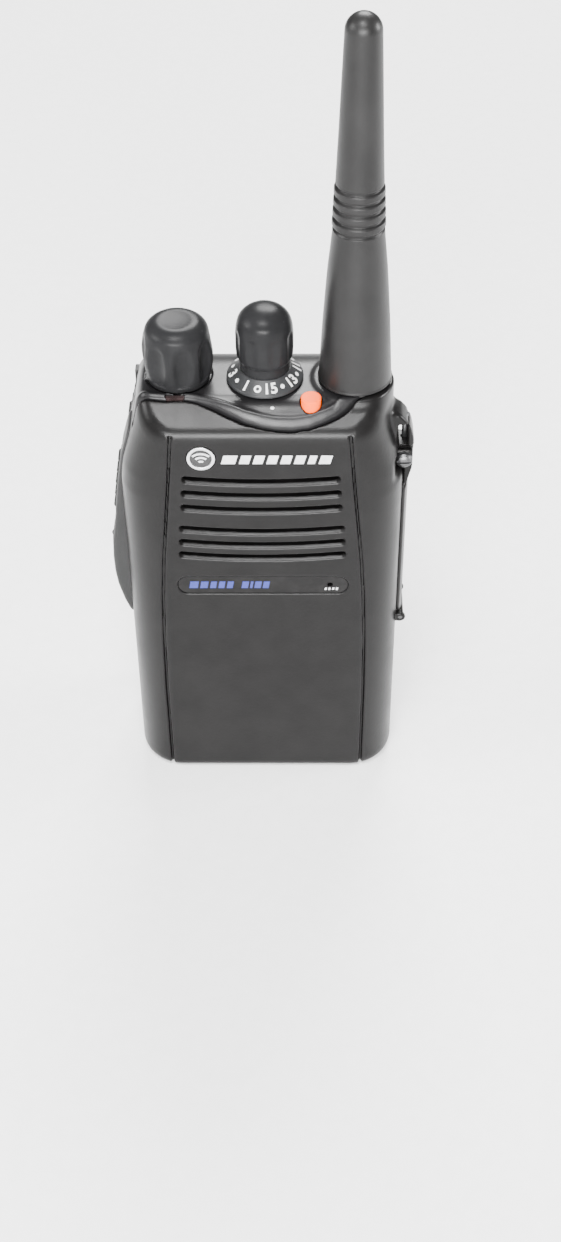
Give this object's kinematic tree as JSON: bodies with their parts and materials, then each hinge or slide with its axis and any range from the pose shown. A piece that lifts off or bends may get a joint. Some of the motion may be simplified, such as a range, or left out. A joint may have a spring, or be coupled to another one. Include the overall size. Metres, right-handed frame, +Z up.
{
  "type": "portable radio",
  "caption": "Hand-held two-way radio with clip-on battery pack, screw-in antenna, volume and channel knobs, push-to-talk and side keys, emergency button and covered accessory socket.",
  "frame": {"origin": "middle of the flat base, on the surface that the radio stands on", "axes": "+Z up along the radio, front face towards -Y, +X to the right when facing the front"},
  "size_m": [0.0616, 0.0313, 0.1713],
  "materials": {
    "housing_plastic": "finely grained satin moulding",
    "cap_plastic": "finely grained satin moulding",
    "pack_plastic": "finely grained satin moulding",
    "knob_plastic": "smooth soft-gloss moulding",
    "dial_plastic": "satin moulding with white numerals",
    "orange_plastic": "bright orange moulding",
    "key_rubber": "moulded rubber",
    "seal_rubber": "soft sealing rubber",
    "antenna_rubber": "smooth over-moulded rubber",
    "chassis_metal": "die-cast, bead blasted",
    "steel": "plated steel",
    "brass": "machined brass",
    "gold_contact": "gold-plated contact",
    "copper": "enamelled copper wire",
    "circuit_board": "solder-masked board",
    "flex_film": "polyimide film",
    "magnet_steel": "plated steel cup",
    "cone_paper": "pressed paper",
    "grille_felt": "black felt",
    "inner_plastic": "plain moulding",
    "clear_lens": "smoked light guide",
    "white_mark": "white fill",
    "badge_metal": "bright trim",
    "cell_wrap": "shrink sleeve"
  },
  "bodies": {
    "radio_body": {"front_housing": "housing_plastic", "control_top": "cap_plastic", "chassis": "chassis_metal", "housing_seal": "seal_rubber", "chassis_screws": "steel", "speaker_frame": "steel", "speaker_cone": "cone_paper", "speaker_magnet": "magnet_steel", "speaker_felt": "grille_felt", "speaker_bracket": "steel", "microphone": "steel", "microphone_boot": "seal_rubber", "main_board": "circuit_board", "shield_cans": "steel", "controls_flex": "flex_film", "volume_switch": "inner_plastic", "volume_nut": "brass", "channel_switch": "inner_plastic", "channel_nut": "brass", "index_mark": "white_mark", "status_lens": "clear_lens", "emergency_switch": "inner_plastic", "antenna_bushing": "brass", "side_bezel": "key_rubber", "side_button_board": "circuit_board", "side_switch_domes": "steel", "strap_pin": "steel", "accessory_socket": "inner_plastic", "accessory_contacts": "gold_contact", "cover_hinge_pin": "steel", "name_plate": "housing_plastic", "front_badge": "badge_metal", "contact_block": "inner_plastic", "contact_springs": "gold_contact"},
    "volume": {"volume_shaft": "steel", "volume_knob": "knob_plastic"},
    "channel": {"channel_shaft": "steel", "channel_knob": "knob_plastic", "channel_dial": "dial_plastic"},
    "emergency": {"emergency_button": "orange_plastic"},
    "antenna_seat": {"antenna_gasket": "seal_rubber"},
    "antenna": {"antenna_stud": "brass", "antenna_coil": "copper", "antenna_sheath": "antenna_rubber"},
    "ptt": {"ptt_button": "key_rubber"},
    "side_key_1": {"side_button_1": "key_rubber"},
    "side_key_2": {"side_button_2": "key_rubber"},
    "socket_cover": {"connector_cover": "housing_plastic"},
    "cover_washer": {"cover_screw_washer": "steel"},
    "cover_fastener": {"cover_screw": "steel"},
    "battery": {"battery_lid": "pack_plastic", "battery_case": "pack_plastic", "battery_cells": "cell_wrap", "battery_board": "circuit_board", "battery_terminals": "gold_contact", "charging_contacts": "gold_contact", "latch_spring_left": "steel", "latch_spring_right": "steel"},
    "pack_latch_left": {"latch_left": "key_rubber"},
    "pack_latch_right": {"latch_right": "key_rubber"}
  },
  "joints": [
    {"name": "volume_turn", "type": "hinge", "parent": "radio_body", "child": "volume", "pos_m": [-0.0158, -0.0019, 0.1], "axis": [0, 0, 1], "range_deg": [-150, 150]},
    {"name": "channel_turn", "type": "hinge", "parent": "radio_body", "child": "channel", "pos_m": [0.0008, -0.0028, 0.1], "axis": [0, 0, 1], "range_deg": [-315, 22.5]},
    {"name": "emergency_press", "type": "slide", "parent": "radio_body", "child": "emergency", "axis": [0, 0, -1], "range_m": [0, 0.0008], "stiffness_N_per_m": 600, "springref_m": -0.0005},
    {"name": "antenna_lift", "type": "slide", "parent": "radio_body", "child": "antenna_seat", "axis": [0, 0, 1], "range_m": [0, 0.005]},
    {"name": "antenna_turn", "type": "hinge", "parent": "antenna_seat", "child": "antenna", "pos_m": [0.018, -0.0031, 0.1], "axis": [0, 0, 1], "range_deg": [0, 1800]},
    {"name": "ptt_press", "type": "slide", "parent": "radio_body", "child": "ptt", "axis": [1, 0, 0], "range_m": [0, 0.001], "stiffness_N_per_m": 800, "springref_m": -0.0005},
    {"name": "side_key_1_press", "type": "slide", "parent": "radio_body", "child": "side_key_1", "axis": [1, 0, 0], "range_m": [0, 0.0008], "stiffness_N_per_m": 600, "springref_m": -0.0005},
    {"name": "side_key_2_press", "type": "slide", "parent": "radio_body", "child": "side_key_2", "axis": [1, 0, 0], "range_m": [0, 0.0008], "stiffness_N_per_m": 600, "springref_m": -0.0005},
    {"name": "cover_swing", "type": "hinge", "parent": "radio_body", "child": "socket_cover", "pos_m": [0.02865, -0.0036, 0.0398], "axis": [0, 1, 0], "range_deg": [0, 100]},
    {"name": "cover_screw_out", "type": "slide", "parent": "radio_body", "child": "cover_washer", "axis": [0, -1, 0], "range_m": [0, 0.0015]},
    {"name": "cover_screw_turn", "type": "hinge", "parent": "cover_washer", "child": "cover_fastener", "pos_m": [0.0279, -0.008, 0.0814], "axis": [0, -1, 0], "range_deg": [0, 1080]},
    {"name": "battery_swing", "type": "hinge", "parent": "radio_body", "child": "battery", "pos_m": [0, 0.0021, 0.0034], "axis": [-1, 0, 0], "range_deg": [0, 20]},
    {"name": "latch_left_slide", "type": "slide", "parent": "battery", "child": "pack_latch_left", "axis": [0, 0, -1], "range_m": [0, 0.004], "stiffness_N_per_m": 250, "springref_m": -0.002, "deforming": ["latch_spring_left"]},
    {"name": "latch_right_slide", "type": "slide", "parent": "battery", "child": "pack_latch_right", "axis": [0, 0, -1], "range_m": [0, 0.004], "stiffness_N_per_m": 250, "springref_m": -0.002, "deforming": ["latch_spring_right"]}
  ],
  "couplings": [
    {"joint": "antenna_turn", "follows": "antenna_lift", "rad_per_m": 6283},
    {"joint": "cover_screw_turn", "follows": "cover_screw_out", "rad_per_m": 12560}
  ]
}
